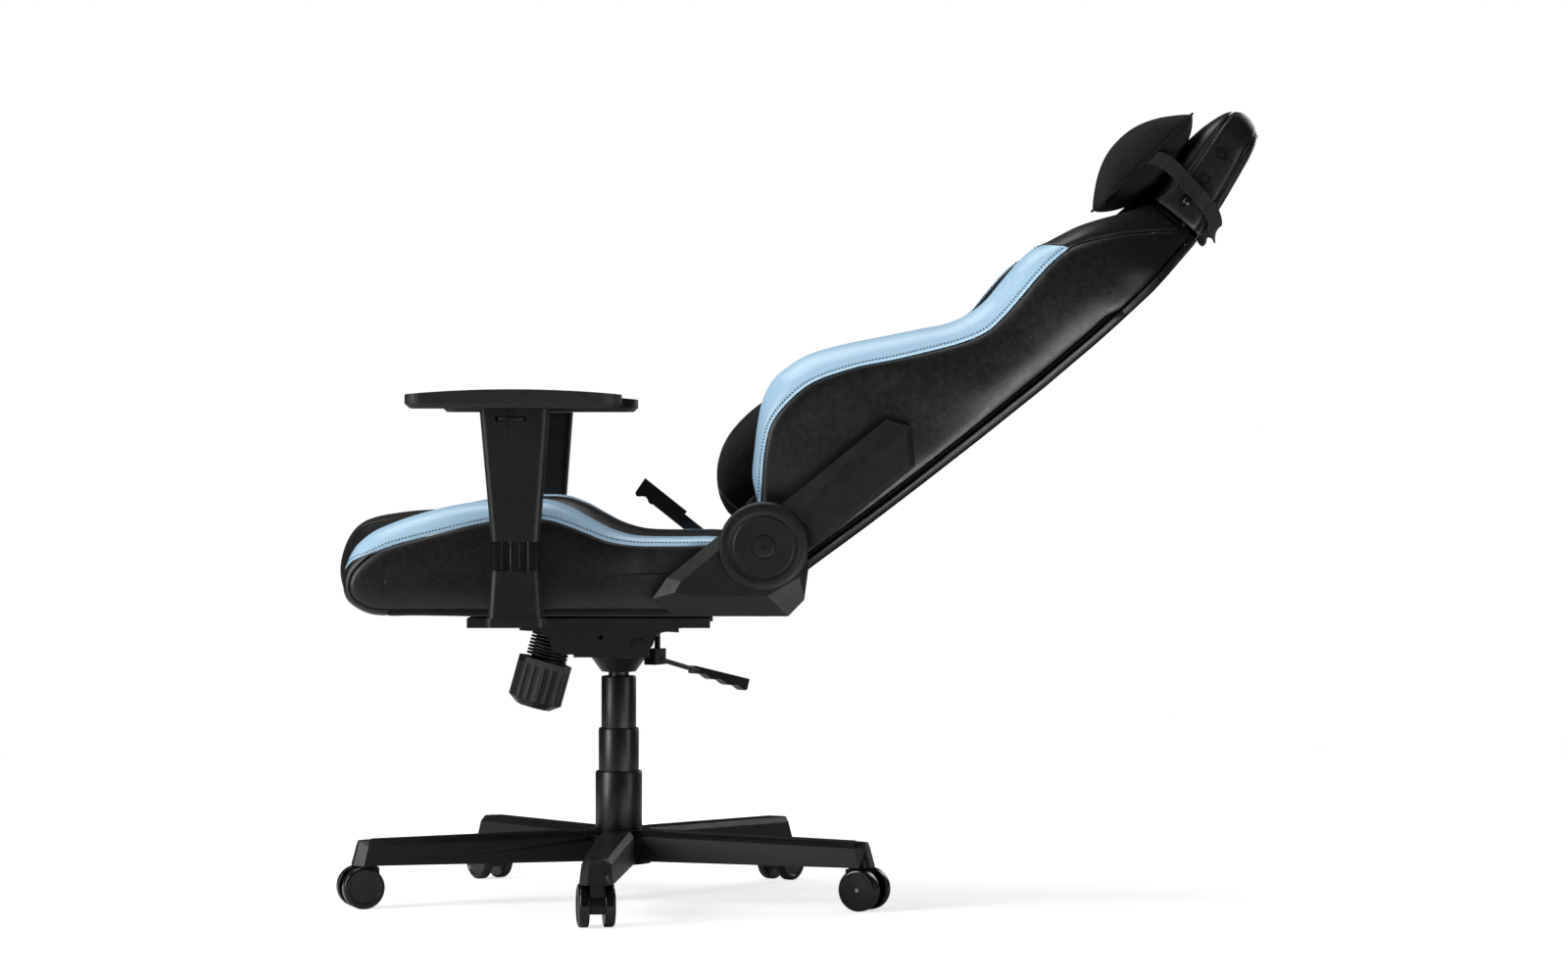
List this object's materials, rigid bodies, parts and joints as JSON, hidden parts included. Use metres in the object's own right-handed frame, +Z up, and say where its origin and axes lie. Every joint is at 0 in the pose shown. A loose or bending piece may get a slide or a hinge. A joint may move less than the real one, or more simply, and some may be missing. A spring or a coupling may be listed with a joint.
{
  "type": "gaming chair",
  "caption": "Reclining high-back chair on a five-star caster base, with bolstered seat and back, armrests, head pillow, lumbar cushion and a tilt mechanism.",
  "frame": {"origin": "on the floor under the column's axis", "axes": "+Z up, +X to the chair's left, +Y to its back; the sitter faces -Y"},
  "size_m": [0.7261, 1.236, 1.0686],
  "materials": {
    "leather_black": "soft satin leatherette over foam",
    "leather_blue": "soft satin leatherette over foam",
    "knit_black": "matte knit fabric over foam",
    "elastic_strap": "woven elastic",
    "base_nylon": "satin moulded nylon",
    "caster_black": "glossy",
    "caster_hood": "satin",
    "cover_plastic": "fine grained",
    "arm_soft": "soft polyurethane",
    "socket_black": "glossy",
    "steel_black": "satin black coat",
    "arm_post": "gloss black anodised",
    "steel_bright": "zinc plated",
    "seat_board": "stained ply"
  },
  "bodies": {
    "base": {"base_star": "base_nylon", "gas_outer_tube": "steel_black", "piston_rod": "steel_bright", "shroud_lower": "cover_plastic"},
    "shroud_mid": {"shroud_middle": "cover_plastic"},
    "lift": {"shroud_upper": "cover_plastic"},
    "mechanism": {"gas_inner_cylinder": "steel_bright", "mechanism_core": "steel_black"},
    "valve": {"valve_pin": "steel_bright"},
    "height_lever": {"height_lever_rod": "steel_black", "height_lever_grip": "cover_plastic"},
    "seat": {"tilt_axle": "steel_bright", "tilt_housing": "steel_black", "tension_spring": "arm_soft", "seat_pan": "seat_board", "seat_pad": "leather_black", "seat_bolsters": "leather_blue", "mounting_bolts": "steel_bright", "hinge_seat_plates": "steel_black", "hinge_covers_lower": "cover_plastic", "hinge_discs": "cover_plastic", "arm_brackets": "arm_post", "arm_shells": "cover_plastic"},
    "knob": {"tension_knob": "cover_plastic"},
    "recline_lever": {"recline_lever_arm": "steel_black", "recline_lever_grip": "cover_plastic"},
    "back": {"back_frame": "steel_black", "hinge_back_plates": "steel_black", "back_pad": "leather_black", "back_bolsters": "leather_blue", "back_shell": "cover_plastic", "hinge_covers_upper": "cover_plastic", "strap_sockets": "socket_black", "lumbar_cushion": "knit_black"},
    "pillow": {"head_pillow": "knit_black", "head_strap": "elastic_strap"},
    "arm_sleeve_left": {"arm_sleeve_left": "cover_plastic"},
    "arm_button_left": {"arm_button_left": "cover_plastic"},
    "arm_turntable_left": {"arm_turntable_left": "cover_plastic"},
    "arm_pad_left": {"arm_pad_left": "arm_soft"},
    "arm_sleeve_right": {"arm_sleeve_right": "cover_plastic"},
    "arm_button_right": {"arm_button_right": "cover_plastic"},
    "arm_turntable_right": {"arm_turntable_right": "cover_plastic"},
    "arm_pad_right": {"arm_pad_right": "arm_soft"},
    "caster_1": {"caster_1_hood": "caster_hood"},
    "caster_1_wheel_left": {"caster_1_wheel_left": "caster_black"},
    "caster_1_wheel_right": {"caster_1_wheel_right": "caster_black"},
    "caster_2": {"caster_2_hood": "caster_hood"},
    "caster_2_wheel_left": {"caster_2_wheel_left": "caster_black"},
    "caster_2_wheel_right": {"caster_2_wheel_right": "caster_black"},
    "caster_3": {"caster_3_hood": "caster_hood"},
    "caster_3_wheel_left": {"caster_3_wheel_left": "caster_black"},
    "caster_3_wheel_right": {"caster_3_wheel_right": "caster_black"},
    "caster_4": {"caster_4_hood": "caster_hood"},
    "caster_4_wheel_left": {"caster_4_wheel_left": "caster_black"},
    "caster_4_wheel_right": {"caster_4_wheel_right": "caster_black"},
    "caster_5": {"caster_5_hood": "caster_hood"},
    "caster_5_wheel_left": {"caster_5_wheel_left": "caster_black"},
    "caster_5_wheel_right": {"caster_5_wheel_right": "caster_black"}
  },
  "joints": [
    {"name": "lift_slide", "type": "slide", "parent": "base", "child": "lift", "axis": [0, 0, 1], "range_m": [-0.08, 0]},
    {"name": "shroud_middle_slide", "type": "slide", "parent": "base", "child": "shroud_mid", "axis": [0, 0, 1], "range_m": [-0.04, 0]},
    {"name": "seat_swivel", "type": "hinge", "parent": "lift", "child": "mechanism", "pos_m": [0, 0, 0.3], "axis": [0, 0, 1], "continuous": true},
    {"name": "height_lever_lift", "type": "hinge", "parent": "mechanism", "child": "height_lever", "pos_m": [-0.032, 0.052, 0.33], "axis": [0.4985, 0.8669, 0], "range_deg": [0, 6], "stiffness_Nm_per_rad": 6, "springref_deg": -8.59},
    {"name": "valve_pin_slide", "type": "slide", "parent": "mechanism", "child": "valve", "axis": [0, 0, 1], "range_m": [-0.0068, 0]},
    {"name": "seat_tilt", "type": "hinge", "parent": "mechanism", "child": "seat", "pos_m": [0, 0.03, 0.352], "axis": [-1, 0, 0], "range_deg": [0, 10], "stiffness_Nm_per_rad": 150, "springref_deg": -34.38, "deforming": ["tension_spring"]},
    {"name": "tension_knob_turn", "type": "hinge", "parent": "seat", "child": "knob", "pos_m": [0, -0.1, 0.329], "axis": [0, 0.2672, 0.9636], "continuous": true},
    {"name": "back_recline", "type": "hinge", "parent": "seat", "child": "back", "pos_m": [0, 0.2, 0.492], "axis": [1, 0, 0], "range_deg": [0, 45]},
    {"name": "recline_lever_lift", "type": "hinge", "parent": "seat", "child": "recline_lever", "pos_m": [-0.288, 0.133, 0.474], "axis": [-1, 0, 0], "range_deg": [0, 20], "stiffness_Nm_per_rad": 2.5, "springref_deg": -17.19},
    {"name": "arm_height_left", "type": "slide", "parent": "seat", "child": "arm_sleeve_left", "axis": [0, 0, 1], "range_m": [-0.035, 0.035]},
    {"name": "arm_button_press_left", "type": "slide", "parent": "arm_sleeve_left", "child": "arm_button_left", "axis": [-1, 0, 0], "range_m": [0, 0.004], "stiffness_N_per_m": 800, "springref_m": -0.003},
    {"name": "arm_pad_swivel_left", "type": "hinge", "parent": "arm_sleeve_left", "child": "arm_turntable_left", "pos_m": [0.302, -0.122, 0.671], "axis": [0, 0, 1], "range_deg": [-20, 20]},
    {"name": "arm_pad_slide_left", "type": "slide", "parent": "arm_turntable_left", "child": "arm_pad_left", "axis": [0, 1, 0], "range_m": [-0.025, 0.025]},
    {"name": "arm_height_right", "type": "slide", "parent": "seat", "child": "arm_sleeve_right", "axis": [0, 0, 1], "range_m": [-0.035, 0.035]},
    {"name": "arm_button_press_right", "type": "slide", "parent": "arm_sleeve_right", "child": "arm_button_right", "axis": [1, 0, 0], "range_m": [0, 0.004], "stiffness_N_per_m": 800, "springref_m": -0.003},
    {"name": "arm_pad_swivel_right", "type": "hinge", "parent": "arm_sleeve_right", "child": "arm_turntable_right", "pos_m": [-0.302, -0.122, 0.671], "axis": [0, 0, 1], "range_deg": [-20, 20]},
    {"name": "arm_pad_slide_right", "type": "slide", "parent": "arm_turntable_right", "child": "arm_pad_right", "axis": [0, 1, 0], "range_m": [-0.025, 0.025]},
    {"name": "pillow_slide", "type": "slide", "parent": "back", "child": "pillow", "axis": [0, 0.7071, 0.7071], "range_m": [0, 0.045]},
    {"name": "caster_1_swivel", "type": "hinge", "parent": "base", "child": "caster_1", "pos_m": [0.34167, -0.01492, 0.06], "axis": [0, 0, 1], "continuous": true},
    {"name": "caster_1_roll_left", "type": "hinge", "parent": "caster_1", "child": "caster_1_wheel_left", "pos_m": [0.32583, -0.01714, 0.0285], "axis": [0.1392, -0.9903, 0], "continuous": true},
    {"name": "caster_1_roll_right", "type": "hinge", "parent": "caster_1", "child": "caster_1_wheel_right", "pos_m": [0.32583, -0.01714, 0.0285], "axis": [0.1392, -0.9903, 0], "continuous": true},
    {"name": "caster_2_swivel", "type": "hinge", "parent": "base", "child": "caster_2", "pos_m": [0.11977, 0.32034, 0.06], "axis": [0, 0, 1], "continuous": true},
    {"name": "caster_2_roll_left", "type": "hinge", "parent": "caster_2", "child": "caster_2_wheel_left", "pos_m": [0.12728, 0.33447, 0.0285], "axis": [-0.8829, 0.4695, 0], "continuous": true},
    {"name": "caster_2_roll_right", "type": "hinge", "parent": "caster_2", "child": "caster_2_wheel_right", "pos_m": [0.12728, 0.33447, 0.0285], "axis": [-0.8829, 0.4695, 0], "continuous": true},
    {"name": "caster_3_swivel", "type": "hinge", "parent": "base", "child": "caster_3", "pos_m": [-0.26765, 0.2129, 0.06], "axis": [0, 0, 1], "continuous": true},
    {"name": "caster_3_roll_left", "type": "hinge", "parent": "caster_3", "child": "caster_3_wheel_left", "pos_m": [-0.28076, 0.22208, 0.0285], "axis": [-0.5736, -0.8191, 0], "continuous": true},
    {"name": "caster_3_roll_right", "type": "hinge", "parent": "caster_3", "child": "caster_3_wheel_right", "pos_m": [-0.28076, 0.22208, 0.0285], "axis": [-0.5736, -0.8191, 0], "continuous": true},
    {"name": "caster_4_swivel", "type": "hinge", "parent": "base", "child": "caster_4", "pos_m": [-0.28519, -0.18876, 0.06], "axis": [0, 0, 1], "continuous": true},
    {"name": "caster_4_roll_left", "type": "hinge", "parent": "caster_4", "child": "caster_4_wheel_left", "pos_m": [-0.2983, -0.19794, 0.0285], "axis": [0.5736, -0.8191, 0], "continuous": true},
    {"name": "caster_4_roll_right", "type": "hinge", "parent": "caster_4", "child": "caster_4_wheel_right", "pos_m": [-0.2983, -0.19794, 0.0285], "axis": [0.5736, -0.8191, 0], "continuous": true},
    {"name": "caster_5_swivel", "type": "hinge", "parent": "base", "child": "caster_5", "pos_m": [0.0914, -0.32956, 0.06], "axis": [0, 0, 1], "continuous": true},
    {"name": "caster_5_roll_left", "type": "hinge", "parent": "caster_5", "child": "caster_5_wheel_left", "pos_m": [0.09687, -0.3446, 0.0285], "axis": [0.9397, 0.342, 0], "continuous": true},
    {"name": "caster_5_roll_right", "type": "hinge", "parent": "caster_5", "child": "caster_5_wheel_right", "pos_m": [0.09687, -0.3446, 0.0285], "axis": [0.9397, 0.342, 0], "continuous": true}
  ],
  "couplings": [
    {"joint": "shroud_middle_slide", "follows": "lift_slide", "ratio": 0.5},
    {"joint": "valve_pin_slide", "follows": "height_lever_lift", "m_per_rad": -0.063}
  ]
}
